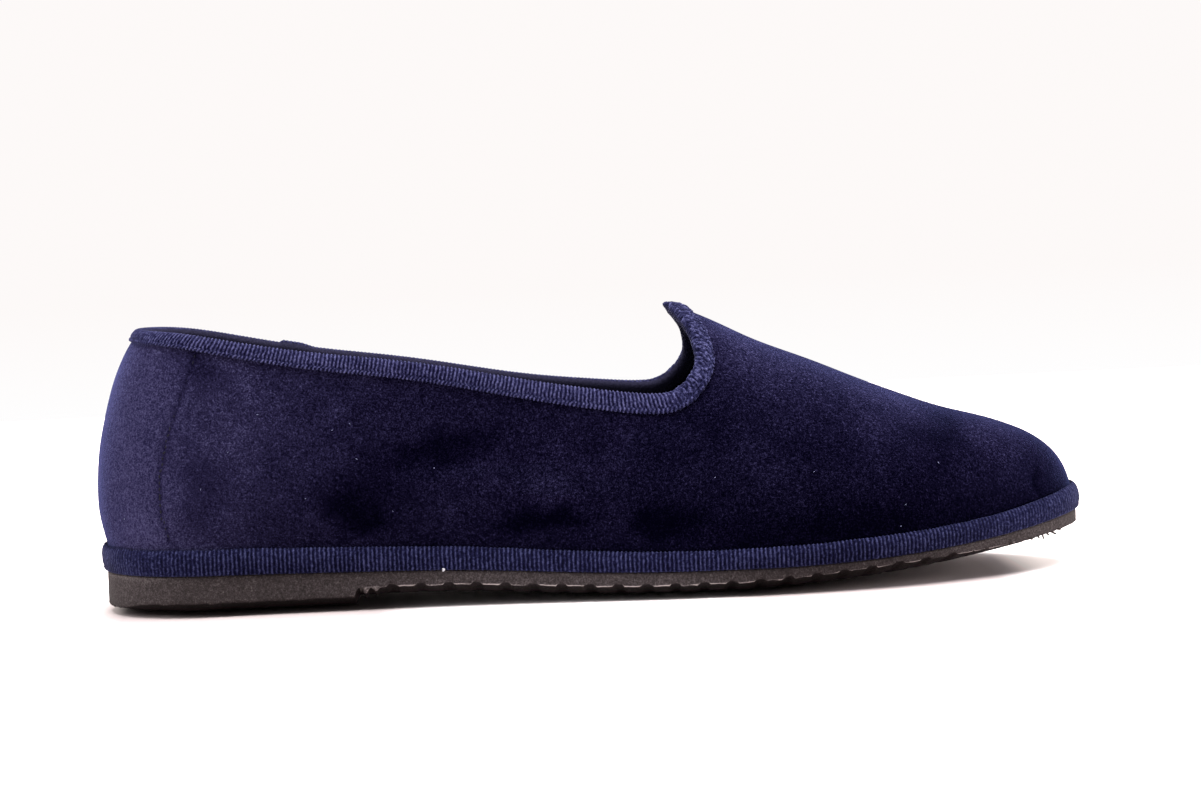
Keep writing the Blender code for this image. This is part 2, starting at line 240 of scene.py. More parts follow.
def half_width(station, side):
    """Half width at the sole, on the outer side (-1) or the inner side (+1)."""
    width = np.where(side < 0, outer_width(station), inner_width(station))
    return width * end_rounding(station)


def seat_height(station):
    """Height of the upper's lowest edge."""
    return top_curve(station) + GAP


def rise(station):
    """Height of the last above its lowest edge, rounded off at the toe."""
    nose = np.clip(1 - (TOE_STATION - station) / NOSE, 0, 1)
    full = ridge_height(station) - seat_height(station)
    return full * np.clip(1 - nose**NOSE_POWER, 0, 1) ** (1 / NOSE_POWER)


def last_point(station, across, side):
    """Point of the last's surface. across is 1 at the sole's edge and 0 on the ridge."""
    square = squareness(station)
    seat = seat_height(station)
    height = seat + rise(station) * np.clip(1 - across**square, 0, 1) ** (1 / square)
    over = np.clip((height - seat - BELLY_START) / BELLY_RISE, 0, None)
    belly = belly_depth(station) * (over * np.exp(1 - over)) ** 1.5
    reach = half_width(station, side) + belly * end_rounding(station)
    y = centre_line(station) + side * reach * across
    fade = np.clip(1 - (station - HEEL_STATION) / LEAN_REACH, 0, 1) ** 1.5
    x = station + back_lean(height) * fade - LENGTH / 2
    return np.stack(np.broadcast_arrays(x, y, height), -1)


def throat_across(turn, side):
    """How far down the last's arch the topline lies: 0 on the ridge, 1 at the sole."""
    top = topline_station(turn)
    height = np.where(side < 0, outer_topline(turn), inner_topline(turn))
    share = (height - seat_height(top)) / rise(top)
    square = squareness(top)
    return (1 - np.clip(share, 0, 1) ** square) ** (1 / square)


def upper_point(ring, level):
    """Point of the upper's outer surface. ring runs from 0 at the heel's back along the
    outer side to 1 at the toe and back along the inner side to 2; level runs from 0 at
    the sole to 1 at the topline."""
    ring, level = np.broadcast_arrays(np.mod(ring, 2.0), np.asarray(level, float))
    side, turn = side_of(ring), turn_of(ring)
    low = edge_station(turn)
    top = topline_station(turn)
    square = squareness(top)
    tip = throat_across(TIP_TURN, side) * np.clip((1 - turn) / (1 - TIP_TURN), 0, 1)
    top_across = np.where(turn > TIP_TURN, tip, throat_across(turn, side))
    angle = np.arccos(np.clip(top_across, 0, 1) ** (square / 2))
    wall_across = np.cos(angle * level) ** (2 / square)
    along = (1 - wall_across) / np.maximum(1 - top_across, 1e-9)
    station = low + (top - low) * along
    low_y = half_width(low, side) + side * centre_line(low)
    top_y = half_width(top, side) * top_across + side * centre_line(top)
    plan_y = low_y + (top_y - low_y) * along - side * centre_line(station)
    plan_across = np.clip(plan_y / np.maximum(half_width(station, side), 1e-6), 0, 1)
    plan_across = np.where(level <= 0, 1.0, plan_across)
    vamp = ease(turn, VAMP_START, VAMP_END)
    across = wall_across + (plan_across - wall_across) * vamp
    return last_point(station, across, side)


def unit(vectors):
    return vectors / np.maximum(np.linalg.norm(vectors, axis=-1, keepdims=True), 1e-12)


STEP = 1e-4


def along_ring(ring, level):
    return unit(upper_point(ring + STEP, level) - upper_point(ring - STEP, level))


def up_wall(ring, level):
    low, high = np.clip(level - STEP, 0, 1), np.clip(level + STEP, 0, 1)
    return unit(upper_point(ring, high) - upper_point(ring, low))


def outward(ring, level):
    """Outward normal of the upper, level with the floor along its lowest edge."""
    normal = np.cross(along_ring(ring, level), up_wall(ring, level))
    normal[..., 2] = np.where(level <= 0, 0.0, normal[..., 2])
    return unit(normal)


def offset_point(ring, level, distance):
    """Point that far outside the upper's surface, or inside it if negative."""
    distance = np.asarray(distance, float)[..., None]
    return upper_point(ring, level) + outward(ring, level) * distance


def level_below_topline(rings, distances):
    """Levels that lie each of the distances below the topline, one row for each ring.
    A ring that meets it at a slant is followed for longer."""
    levels = np.linspace(0.5, 1, 101)
    grid = upper_point(rings[:, None], levels)
    steps = np.linalg.norm(np.diff(grid, axis=1), axis=2)
    walked = np.concatenate([np.cumsum(steps[:, ::-1], axis=1)[:, ::-1], 0 * steps[:, :1]], 1)
    sine = np.linalg.norm(np.cross(along_ring(rings, 1.0), up_wall(rings, 1.0)), axis=-1)
    wanted = distances / np.maximum(sine, 0.6)[:, None]
    return np.array([np.interp(-w, -k, levels) for w, k in zip(wanted, walked)])


def level_at_height(rings, above):
    """Levels that lie each of the heights above the upper's lowest edge."""
    levels = np.linspace(0, 0.5, 101)
    heights = upper_point(rings[:, None], levels)[..., 2]
    return np.array([np.interp(h[0] + a, h, levels) for h, a in zip(heights, above)])


def even_rings(count, level, distance):
    """Places evenly spaced round the shoe along one line, and its length."""
    fine = np.linspace(0, 2, 4001)
    line = offset_point(fine, level, distance)
    steps = np.linalg.norm(np.diff(line, axis=0), axis=1)
    walked = np.concatenate([[0], np.cumsum(steps)])
    places = np.arange(count) / count
    return np.interp(places * walked[-1], walked, fine), walked[-1]


def smooth_noise(points, size, seed):
    """Soft noise between about -1 and 1 whose lumps are of that size."""
    shift = Vector((seed * 7.31, seed * 3.17, seed * 5.77))
    return np.array([noise.noise(Vector(p) / size + shift) for p in points])


def layered_noise(points, *layers):
    """Sum of soft noises, each given as its strength, size and seed."""
    return sum(strength * smooth_noise(points, size, seed) for strength, size, seed in layers)


def grid_of(rings, levels):
    """Ring and level of every vertex of a grid, column by column."""
    return [values.ravel() for values in np.meshgrid(rings, levels, indexing="ij")]


def make_piece(name, points, quads, materials, node=None, slots=None):
    """A mesh piece of quads. slots gives each face its material."""
    mesh = bpy.data.meshes.new(name)
    points = np.reshape(points, (-1, 3)) * MM
    mesh.from_pydata(points.tolist(), [], np.asarray(quads).tolist())
    if slots is not None:
        mesh.polygons.foreach_set("material_index", slots)
    mesh.validate()
    mesh.shade_smooth()
    for material in materials:
        mesh.materials.append(material)
    piece = bpy.data.objects.new(name, mesh)
    bpy.context.scene.collection.objects.link(piece)
    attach(piece, "root")
    if node:
        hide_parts(node)
    return piece


def paint(piece, name, values):
    """A number at every vertex, which the material reads by that name."""
    attribute = piece.data.attributes.new(name, "FLOAT", "POINT")
    attribute.data.foreach_set("value", np.ravel(values).astype(np.float32))


def loop_quads(columns, rows, start=0, wrap_rows=False):
    """Faces of a grid that closes round its columns, and round its rows if asked."""
    i = np.arange(columns)[:, None]
    j = np.arange(rows if wrap_rows else rows - 1)
    here, there = start + i * rows, start + (i + 1) % columns * rows
    above = (j + 1) % rows
    return np.stack([here + j, there + j, there + above, here + above], -1).reshape(-1, 4)


# MATERIALS


class Nodes:
    """Short calls for building one material."""

    def __init__(self, name, colour, roughness):
        self.material = bpy.data.materials.new(name)
        self.material.use_nodes = True
        self.tree = self.material.node_tree
        self.shader = self.tree.nodes["Principled BSDF"]
        self.set(self.shader, **{"Base Color": (*colour, 1), "Roughness": roughness})
        self.place = self.add("ShaderNodeTexCoord").outputs["Object"]

    def put(self, socket, value):
        """Link a socket to another one, or give it a plain value."""
        if isinstance(value, bpy.types.NodeSocket):
            self.tree.links.new(value, socket)
        else:
            socket.default_value = value

    def set(self, node, **inputs):
        for name, value in inputs.items():
            self.put(node.inputs[name], value)

    def add(self, kind, **inputs):
        node = self.tree.nodes.new(kind)
        self.set(node, **inputs)
        return node

    def surface(self, colour, specular, relief=None, sheen=()):
        """Colour, specular level, a bump's height, depth and strength, and a sheen's
        weight, roughness and tint."""
        self.set(self.shader, **{"Base Color": colour, "Specular IOR Level": specular})
        for name, value in zip(("Sheen Weight", "Sheen Roughness", "Sheen Tint"), sheen):
            self.put(self.shader.inputs[name], value)
        if relief:
            height, depth, strength = relief
            node = self.add("ShaderNodeBump", Height=height, Distance=depth * MM)
            self.set(node, Strength=strength)
            self.set(self.shader, Normal=node.outputs["Normal"])
        return self.material

    def noise(self, size_mm, detail, roughness):
        node = self.add("ShaderNodeTexNoise", Vector=self.place, Scale=1 / (size_mm * MM))
        self.set(node, Detail=detail, Roughness=roughness)
        return node.outputs["Fac"]

    def attribute(self, name):
        node = self.add("ShaderNodeAttribute")
        node.attribute_name = name
        return node.outputs["Fac"]

    def math(self, operation, first, second=0.0, clamp=False):
        node = self.tree.nodes.new("ShaderNodeMath")
        node.operation, node.use_clamp = operation, clamp
        for socket, value in zip(node.inputs, (first, second)):
            self.put(socket, value)
        return node.outputs[0]

    def centred(self, value):
        return self.math("SUBTRACT", value, 0.5)

    def blend(self, start, *parts):
        """The start plus each value times its weight."""
        for value, weight in parts:
            start = self.math("ADD", start, self.math("MULTIPLY", value, weight))
        return start

    def ramp(self, value, *stops):
        node = self.tree.nodes.new("ShaderNodeValToRGB")
        elements = node.color_ramp.elements
        while len(elements) < len(stops):
            elements.new(0.5)
        for element, (position, colour) in zip(elements, stops):
            element.position = position
            element.color = (*colour, 1)
        self.tree.links.new(value, node.inputs["Fac"])
        return node.outputs["Color"]


def velvet_material():
    """Cut-pile velvet: nearly black face on, with a blue bloom where the pile turns away."""
    m = Nodes("velvet_pile", (0.006, 0.005, 0.017), 1.0)
    pile = m.blend(0.0, (m.noise(0.8, 2, 0.75), 0.55), (m.noise(0.4, 2, 0.6), 0.45))
    contrast = m.math("MULTIPLY", m.centred(pile), m.attribute("grain"))
    # The painted attribute lightens and darkens the colour: partly the pile's own tone, partly
    # painted highlights and painted shade.
    toned_and_shaded = m.blend(m.math("ADD", contrast, 0.5), (m.attribute("nap"), 0.28))
    colour = m.ramp(
        toned_and_shaded,
        (0.14, (0.0004, 0.0003, 0.0022)),
        (0.44, (0.0028, 0.0022, 0.009)),
        (0.7, (0.0116, 0.0101, 0.03)),
        (0.98, (0.0465, 0.043, 0.099)),
    )
    return m.surface(colour, 0.0, (pile, 0.35, 0.8), (0.45, 0.27, (0.155, 0.185, 0.48, 1)))


def tape_material(name, groove, middle, crest):
    """Grosgrain tape: threads over ribs that are in the mesh, with painted shade in the grooves
    and painted highlights on the crests, and greyer on its lining side.
    """
    m = Nodes(name, middle, 0.8)
    thread, patch = m.noise(0.75, 2, 0.8), m.noise(7.0, 2, 0.5)
    parts = (m.attribute("rib"), 0.52), (m.centred(thread), 1.3), (m.centred(patch), 0.3)
    # Grooves take painted shade and crests painted highlights.
    colour = m.ramp(m.blend(0.2, *parts), (0.14, groove), (0.48, middle), (0.98, crest))
    lining_grey = m.ramp(thread, (0.2, (0.0085, 0.0078, 0.018)), (0.8, (0.019, 0.0176, 0.036)))
    mix = m.add("ShaderNodeMixRGB", Fac=m.attribute("lining_grey"), Color1=colour, Color2=lining_grey)
    colour, sheen = mix.outputs["Color"], (0.12, 0.35, (0.4, 0.42, 0.8, 1))
    return m.surface(colour, 0.02, (thread, 0.3, 0.8), sheen)


def lining_material():
    m = Nodes("cotton_lining", (0.003, 0.0025, 0.007), 0.95)
    weave = m.noise(0.5, 2, 0.6)
    colour = m.ramp(weave, (0.3, (0.0012, 0.001, 0.003)), (0.7, (0.005, 0.0045, 0.012)))
    return m.surface(colour, 0.05, (weave, 0.2, 0.6))


def rubber_material():
    """Matt grey-brown crumb rubber, paler where wear and a painted highlight lie, and darker
    underneath with painted shade.
    """
    m = Nodes("crumb_rubber", (0.05, 0.043, 0.038), 0.85)
    crumb, speck, patch = m.noise(0.7, 3, 0.7), m.noise(0.35, 1, 0.5), m.noise(9.0, 2, 0.5)
    wear_and_shading = m.attribute("wear_and_shading")
    value = m.blend(0.0, (crumb, 0.6), (speck, 0.25), (patch, 0.15), (wear_and_shading, 0.25))
    # The lowest stops hold the painted shade of the crown and the underside, the highest the pale
    # lower edge.
    colour = m.ramp(
        value,
        (0.06, (0.011, 0.0082, 0.0084)),
        (0.2, (0.035, 0.0255, 0.0265)),
        (0.34, (0.0175, 0.0143, 0.0146)),
        (0.52, (0.036, 0.0295, 0.0303)),
        (0.74, (0.098, 0.0835, 0.084)),
        (0.96, (0.3, 0.26, 0.25)),
    )
    return m.surface(colour, 0.08, (crumb, 0.35, 0.6))


def plain_material(name, colour, roughness=0.9, grain_mm=0.3):
    m = Nodes(name, colour, roughness)
    grain = m.noise(grain_mm, 2, 0.6)
    dark, light = tuple(0.6 * c for c in colour), tuple(1.3 * c for c in colour)
    return m.surface(m.ramp(grain, (0.3, dark), (0.7, light)), 0.2, (grain, 0.1, 0.5))


# UPPER

# Soft hollows (-) and swellings (+) of the velvet: place, half sizes along the shoe and
# upwards, tilt in degrees and depth.
FORMS = table(
    "side station height along up tilt depth",
    (-1, 73, 24, 10, 6, 10, -0.7),
    (-1, 93, 42, 16, 6, 18, -0.6),
    (-1, 84, 30, 10, 7, 0, 0.35),
    (-1, 116, 22, 13, 5, -8, -0.6),
    (-1, 130, 31, 15, 9, 0, 0.45),
    (-1, 147, 20, 7, 6, 0, -0.5),
    (-1, 157, 20, 6, 6, 20, -0.45),
    (-1, 26, 34, 8, 14, 0, -0.4),
    (-1, 8, 31, 2.5, 10, -12, -0.25),
    (-1, 250.5, 23, 2.2, 7, 12, -0.25),
    (-1, 205, 32, 22, 9, -10, 0.4),
    (1, 60, 26, 14, 7, 8, -0.6),
    (1, 88, 38, 14, 7, 15, -0.6),
    (1, 112, 24, 12, 6, -6, -0.6),
    (1, 140, 24, 9, 7, 0, -0.5),
    (1, 175, 30, 14, 8, -12, 0.4),
    (1, 246, 24, 4, 9, 12, -0.5),
)
# Patches of the pile, darker (-) or lighter (+): partly its own tone, partly painted shade in the
# hollows and creases of FORMS and under the collar, and painted highlights on its swellings.
TONE_AND_SHADE_PATCHES = table(
    "side station height along up tilt depth",
    (-1, 73, 23.5, 6, 3.4, 10, -1),
    (-1, 68, 31, 18, 10, 0, -0.45),
    (-1, 66, 27, 6, 3, 30, -0.8),
    (-1, 94, 42, 14, 4.5, 14, -1.1),
    (-1, 116, 22, 12, 3.2, 4, -1.1),
    (-1, 148, 20, 5, 4, 0, -1.1),
    (-1, 157, 19, 4, 4, 30, -0.9),
    (-1, 30, 66, 6, 3.5, -20, -0.6),
    (-1, 28, 32, 6, 12, 0, -0.45),
    (-1, 251.5, 23, 1.2, 6, 12, -0.8),
    (-1, 195, 17, 30, 4, 4, -0.5),
    (-1, 42, 50, 11, 16, 12, 0.22),
    (-1, 123, 32, 9, 6, 0, 0.5),
    (-1, 176, 57, 14, 7, -25, 0.28),
    (-1, 204, 41, 13, 4.5, -22, 0.6),
    (-1, 228, 38, 5, 4, -30, -0.5),
    (-1, 245, 33, 11, 4, -20, 0.3),
    (1, 66, 26, 9, 5, 15, -1),
    (1, 100, 40, 14, 5, 14, -0.9),
    (1, 150, 22, 6, 5, 0, -0.9),
    (1, 222, 44, 14, 6, -18, 0.6),
)
# Brightness of the pile along the shoe: partly its own tone, partly a painted highlight that is
# strongest at the heel's back.
TONE_AND_LIGHT_ALONG = table(
    "station nap grain",
    (0, 1, 0.8),
    (15, 0.92, 0.9),
    (30, 0.66, 1.1),
    (50, 0.28, 1.3),
    (75, 0.04, 1.4),
    (100, -0.14, 1.5),
    (130, -0.36, 1.6),
    (165, -0.52, 1.7),
    (200, -0.58, 1.7),
    (235, -0.5, 1.6),
    (266, -0.36, 1.4),
)
tone_and_light_along, brushed_grain = curves(TONE_AND_LIGHT_ALONG)
# Row of stitches that holds the counter, from the sole edge to the topline.
COUNTER_LINE = table(
    "height station",
    (13, 23.4),
    (17.9, 21),
    (21.5, 19.3),
    (26.8, 17.9),
    (32, 17.4),
    (38.3, 18.1),
    (43.6, 19.3),
    (48.7, 20.9),
    (55.4, 23.5),
    (61.7, 26),
    (67.8, 28.4),
    (73, 30.4),
)
counter_line = Curve(*COUNTER_LINE.values())

UNEVEN_ALONG = 5.0  # how far the edges of hollows and patches wander
UNEVEN_UP = 3.2
RIDGE_FADE = 14.0  # distance from the ridge over which they fade out
COUNTER_STEP = 0.22  # how far the counter lifts the velvet behind its stitches
STITCH_GROOVE = 0.3
RIDGE_HIGHLIGHT = 0.9  # painted highlight on top of the toe, where it faces up, less at the crease there
RIDGE_CREASE = 229.0
THROAT_HIGHLIGHT = 0.35  # painted highlight in front of the throat
SEAM_SHADE = 0.45  # painted shade along the sole edge
STITCH_SHADE = 0.5  # and painted shade in the groove of the stitches


def soft_forms(spots, side, points):
    """Sum of a table's soft spots at each place, with uneven edges."""
    station, height = station_of(points), points[:, 2]
    total = np.zeros(len(station))
    from_ridge = np.abs(points[:, 1] - centre_line(station))
    station = station + UNEVEN_ALONG * smooth_noise(points, 7.5, 41)
    height = height + UNEVEN_UP * smooth_noise(points, 5.5, 42)
    for way, middle, level, along, up, tilt, depth in rows_of(spots):
        turn = math.radians(tilt)
        ahead, above = station - middle, height - level
        u = (ahead * math.cos(turn) + above * math.sin(turn)) / along
        v = (above * math.cos(turn) - ahead * math.sin(turn)) / up
        total += np.where(side * way > 0, depth * np.exp(-(u**2) - v**2), 0)
    return total * ease(from_ridge, 0, RIDGE_FADE)


def velvet_relief(points, side, level):
    """How far the velvet stands out from the last, and its distance from the stitches."""
    station, height = station_of(points), points[:, 2]
    above = height - seat_height(station)
    relief = soft_forms(FORMS, side, points)
    relief += layered_noise(points, (0.35, 34, 1), (0.16, 13, 2))
    relief += 0.22 * bell(above, 9, 6) * smooth_noise(points * (1, 1, 0.3), 7.5, 3)
    away = station - counter_line(height)
    relief += COUNTER_STEP / (1 + np.exp(np.clip(away / 0.8, -30, 30)))
    relief -= STITCH_GROOVE * bell(away, 0, 0.7)
    return relief * ease(above, 5.5, 10.5) * ease(level, 1, 0.87), away


def velvet_tone_and_shading(points, side, facing_up, away):
    """Brightness of the velvet's colour at each place: the pile's own and mottled tone, with
    painted highlights and painted shade added.
    """
    station, height = station_of(points), points[:, 2]
    above = height - seat_height(station)
    # Tone along the shoe and in patches: partly the pile's own, partly painted highlights and
    # painted shade.
    nap = tone_and_light_along(station) + soft_forms(TONE_AND_SHADE_PATCHES, side, points)
    # Painted highlight on the toe's ridge where it faces up, weaker at the crease.
    ridge = ease(station, 140, 180) * ease(station, 262, 232)
    ridge *= 1 - 0.55 * bell(station, RIDGE_CREASE, 6)
    nap += RIDGE_HIGHLIGHT * ease(facing_up, 0.55, 1) * ridge
    # Painted highlight in front of the throat.
    nap += THROAT_HIGHLIGHT * bell(station, 172, 14) * ease(height, 42, 56)
    # Painted shade along the sole edge.
    nap -= SEAM_SHADE * bell(above, 0, 8) * ease(station, 30, 70)
    mottled = layered_noise(points, (0.3, 24, 4), (0.22, 8, 5), (0.16, 3.2, 6))
    nap += mottled * (0.45 + 0.55 * ease(station, 10, 60))
    # Painted shade in the groove of the stitches.
    return nap - STITCH_SHADE * bell(away, 0, 0.6)


def build_upper():
    columns, rows, inside_rows = 440, 104, 26
    rings = np.arange(columns) * 2 / columns
    ring, level = grid_of(rings, np.linspace(0, 1, rows))
    side = side_of(ring)
    base = upper_point(ring, level)
    relief, away = velvet_relief(base, side, level)
    outside = offset_point(ring, level, relief)
    inside = offset_point(*grid_of(rings, np.linspace(0, 1, inside_rows)), -WALL)
    outer_faces = loop_quads(columns, rows)
    inner_faces = loop_quads(columns, inside_rows, len(outside))[:, ::-1]
    here = np.arange(columns)
    here_in, top, top_in = len(outside) + here * inside_rows, rows - 1, inside_rows - 1
    here = here * rows
    there, there_in = np.roll(here, -1), np.roll(here_in, -1)
    low_rim = np.stack([there, here, here_in, there_in], 1)
    top_rim = np.stack([here + top, there + top, there_in + top_in, here_in + top_in], 1)
    quads = np.concatenate([outer_faces, inner_faces, low_rim, top_rim])
    slots = np.zeros(len(quads), np.int32)
    slots[len(outer_faces) : len(outer_faces) + len(inner_faces)] = 1
    points = np.concatenate([outside, inside])
    materials = [velvet_material(), lining_material()]
    piece = make_piece("velvet_upper", points, quads, materials, "upper", slots)
    # The velvet's colour carries painted highlights and painted shade as well as the pile's own
    # tone.
    nap = velvet_tone_and_shading(base, side, outward(ring, level)[:, 2], away)
    grain = brushed_grain(station_of(base))
    paint(piece, "nap", np.concatenate([nap, np.zeros(len(inside))]))
    paint(piece, "grain", np.concatenate([grain, np.ones(len(inside))]))


# RIBBED TAPES

RIB_STEPS = 6  # columns of vertices to each rib
RIB_MEAN = 0.45
BINDING_PITCH = 1.03  # one rib of the topline tape
BAND_PITCH = 1.15  # and of the sole edge tape
STITCHING = 0.71  # share of its reach where the topline tape is stitched down
OUTER_RIB, INNER_RIB = 0.34, 0.16  # height of its ribs on each side of the shoe
BAND_RIB = 0.28
OVERLAP = 0.75  # height of the step where its ends overlap
EDGE_LOOP = 0.34  # how far the loops of its lower edge stand out
THROAT_LOOP = 0.72  # size of the small loops that the ribs become round the throat
BEAK_THINNER, BEAK_HIGHER = 0.38, 0.9  # shares by which the fold changes at the beak
BAND_TOOTH = 0.3  # teeth of the sole edge tape's upper edge
# Colours of the tapes' grooves, middles and crests: painted shade in the grooves and painted
# highlights on the crests.
BINDING_COLOURS = ((0.0016, 0.0014, 0.0095), (0.0125, 0.0123, 0.0405), (0.084, 0.084, 0.185))
BAND_COLOURS = ((0.0012, 0.0012, 0.0072), (0.0058, 0.006, 0.024), (0.047, 0.05, 0.12))
NEAR, FAR = GAP, GAP + TAPE
INNER_NEAR, INNER_FAR = -WALL - GAP, -WALL - GAP - TAPE
# Section of the topline tape: share of its reach below the topline, distance outwards from
# the velvet, height above the topline, and how much the ribs show.
BINDING_SECTION = table(
    "below out up show",
    (1, NEAR, 0, 0),
    (1.02, NEAR + 0.35, 0, 0.6),
    (0.99, FAR - 0.06, 0, 1),
    (0.9, FAR + 0.06, 0, 1),
    (0.8, FAR + 0.08, 0, 1),
    (STITCHING, FAR - 0.06, 0, 0.7),
    (0.62, FAR + 0.06, 0, 1),
    (0.48, FAR + 0.14, 0, 1),
    (0.32, FAR + 0.12, 0, 1),
    (0.16, FAR + 0.04, 0, 1),
    (0, FAR - 0.1, 0.15, 1),
    (0, NEAR + 0.25, 0.65, 1),
    (0, NEAR - 0.2, 0.95, 1),
    (0, -0.8, 1.08, 0.8),
    (0, INNER_NEAR + 0.45, 0.98, 0.55),
    (0, INNER_NEAR - 0.1, 0.7, 0.35),
    (0, INNER_FAR + 0.1, 0.2, 0.3),
    (-0.2, INNER_FAR, 0, 0.3),
    (-0.45, INNER_FAR, 0, 0.3),
    (-0.75, INNER_FAR, 0, 0.3),
    (-1, INNER_FAR + 0.05, 0, 0.3),
    (-1, INNER_NEAR, 0, 0),
    (-0.5, INNER_NEAR, 0, 0),
    (0, INNER_NEAR, GAP, 0),
    (0, NEAR, GAP, 0),
    (0.5, NEAR, 0, 0),
)
# Section of the sole edge tape: share of its height, thickness, and how much the ribs show.
BAND_SECTION = table(
    "share thick show",
    (-0.015, 0.3, 0),
    (-0.03, 1, 0.5),
    (0.01, 1.38, 1),
    (0.07, 1.55, 1),
    (0.15, 1.5, 0.9),
    (0.26, 1.68, 1),
    (0.4, 1.76, 1),
    (0.54, 1.74, 1),
    (0.68, 1.64, 1),
    (0.8, 1.46, 1),
    (0.89, 1.2, 1),
    (0.96, 0.88, 1),
    (1, 0.5, 0.7),
    (0.985, 0.1, 0.2),
    (0.9, 0, 0),
    (0.5, 0, 0),
    (0.05, 0, 0),
)


def rib_wave(phase):
    """Height of a rounded rib: 1 on its crest and 0 in the groove."""
    return (0.5 + 0.5 * np.cos(2 * np.pi * phase)) ** 1.1


def weakened(rib, share):
    return RIB_MEAN + (rib - RIB_MEAN) * share


def ribbed_rings(pitch, level, distance):
    """Columns round the shoe for a whole number of ribs."""
    length = even_rings(1, level, distance)[1]
    return even_rings(int(round(length / pitch)) * RIB_STEPS, level, distance)[0]


def tape_piece(name, node, points, rib, material):
    """A tape from points[column, row], closed round the shoe and round its section."""
    columns, rows = points.shape[:2]
    quads = loop_quads(columns, rows, wrap_rows=True)
    piece = make_piece(name, points, quads, [material], node)
    paint(piece, "rib", rib)
    return piece


def build_binding():
    """Tape folded over the topline, ribbed across, with a looped edge below its stitching."""
    rings = ribbed_rings(BINDING_PITCH, 1.0, 1.0)
    turn = turn_of(rings)
    below, out, up, show = BINDING_SECTION.values()
    reach = np.where(below > 0, tape_reach(turn)[:, None], -TAPE_INSIDE)
    shift = np.where(below > STITCHING, 0.5 + (below - STITCHING) * 1.6, 0.0)
    phase = np.arange(len(rings))[:, None] / RIB_STEPS + shift
    phase = phase + side_of(rings)[:, None] * np.clip(1 - below, 0, 1)
    places = upper_point(rings, 1.0)
    # The ribs fade at the heel's back and the beak, and become small loops in the throat.
    clear = 0.35 + 0.65 * ease(turn, 0, 0.2) * (1 - 0.4 * ease(turn, 0.94, 1))
    tight = ease(turn, 0.56, 0.63)
    rib = np.zeros(phase.shape)
    for row in range(len(below)):
        wander = smooth_noise(places + (0, 0, 1.9 * row), 1.9, 11)
        wave = rib_wave(phase[:, row] + 0.22 * wander)
        loops = 0.48 + 2.1 * smooth_noise(places + (0, 0, 1.1 * row), THROAT_LOOP, 12)
        wave = wave + (np.clip(loops, -0.1, 1.15) - wave) * 0.85 * tight
        rib[:, row] = weakened(wave, clear)
    lift = (rib - 0.5) * np.where(rings <= 1, OUTER_RIB, INNER_RIB)[:, None] * show
    loop = EDGE_LOOP * (below > 0.9) * (rib - 0.5)
    levels = level_below_topline(rings, below * reach + loop)
    climbing = up_wall(rings, 1.0)[:, None, :]
    normal = outward(rings[:, None], levels)
    from_middle = out + WALL / 2
    fold = np.arctan2(up, 0.8)[:, None]
    heading = np.sign(from_middle)[:, None] * np.cos(fold) * normal + np.sin(fold) * climbing
    station = station_of(places)
    # The tape's two ends overlap at the far topline.
    overlap = OVERLAP * (rings > 1) * ease(station, 49.5, 50.7) * ease(station, 60, 55)
    # At the point of the throat the fold is thinner and higher, which makes the beak.
    beak = ease(turn, 0.955, 0.995)[:, None]
    thinner = BEAK_THINNER * beak * np.clip(1 - np.abs(below) / 0.5, 0, 1)
    spread = from_middle * (1 - thinner) - WALL / 2
    raised = up * (1 + BEAK_HIGHER * beak) + overlap[:, None] * show * (np.abs(below) < 0.5)
    points = upper_point(rings[:, None], levels) + normal * spread[..., None]
    points = points + climbing * raised[..., None] + unit(heading) * lift[..., None]
    # The ribs' colour: painted highlights on the crests and painted shade in the grooves, a
    # little darker in the throat.
    shade = 0.08 + (rib - 0.08) * show * (1 - 0.16 * tight[:, None])
    tape = tape_material("topline_grosgrain", *BINDING_COLOURS)
    piece = tape_piece("ribbed_binding", "topline_binding", points, shade, tape)
    # Greyer colour on the tape's inner side.
    paint(piece, "lining_grey", np.tile(ease(from_middle, 0, -0.8), len(rings)))


def build_band():
    """Tape round the sole edge, ribbed up and down, with a toothed upper edge."""
    rings = ribbed_rings(BAND_PITCH, 0.0, GAP + 1.7)
    share, thick, show = BAND_SECTION.values()
    base, normal = upper_point(rings, 0.0), outward(rings, 0.0)
    phase = np.arange(len(rings))[:, None] / RIB_STEPS + np.zeros(len(share))
    for row in range(len(share)):
        phase[:, row] += 0.2 * smooth_noise(base + (0, 0, 1.5 * row), 1.9, 21)
    station = station_of(base)
    ends = ease(station, 4, 40) * ease(station, 262, 200)
    rib = weakened(rib_wave(phase), 0.3 + 0.7 * ends[:, None])
    tooth = np.where(share > 0.9, BAND_TOOTH, 0.0) + np.where(share < 0.0, -0.1, 0.0)
    above = share * band_height(station)[:, None] + tooth * (rib - 0.6)
    above = above + share * 0.16 * smooth_noise(base, 6.0, 22)[:, None]
    wall = upper_point(rings[:, None], level_at_height(rings, np.maximum(above, 0)))
    clear = np.einsum("cri,ci->cr", wall - base[:, None, :], normal) + GAP
    lift = (rib - 0.5) * BAND_RIB * show
    points = base[:, None, :] + above[..., None] * np.array((0, 0, 1.0))
    points = points + (clear + thick + lift)[..., None] * normal[:, None, :]
    # Painted highlights on the ribs' crests and painted shade in their grooves, and a painted
    # highlight at the toe and the heel.
    lit = 0.04 * ease(station, 228, 258) + 0.06 * ease(station, 40, 10)
    tape = tape_material("sole_edge_grosgrain", *BAND_COLOURS)
    tape_piece("ribbed_band", "foxing_band", points, rib * show + lit[:, None], tape)


# SOLE

# Small ribs of rubber that hang in front of the heel block.
TEETH = table("station width drop", (70.6, 0.8, 1.5), (73.4, 0.8, 1.0))
CORNER_DROP = 1.6  # how far the heel's lower edge comes down at the back
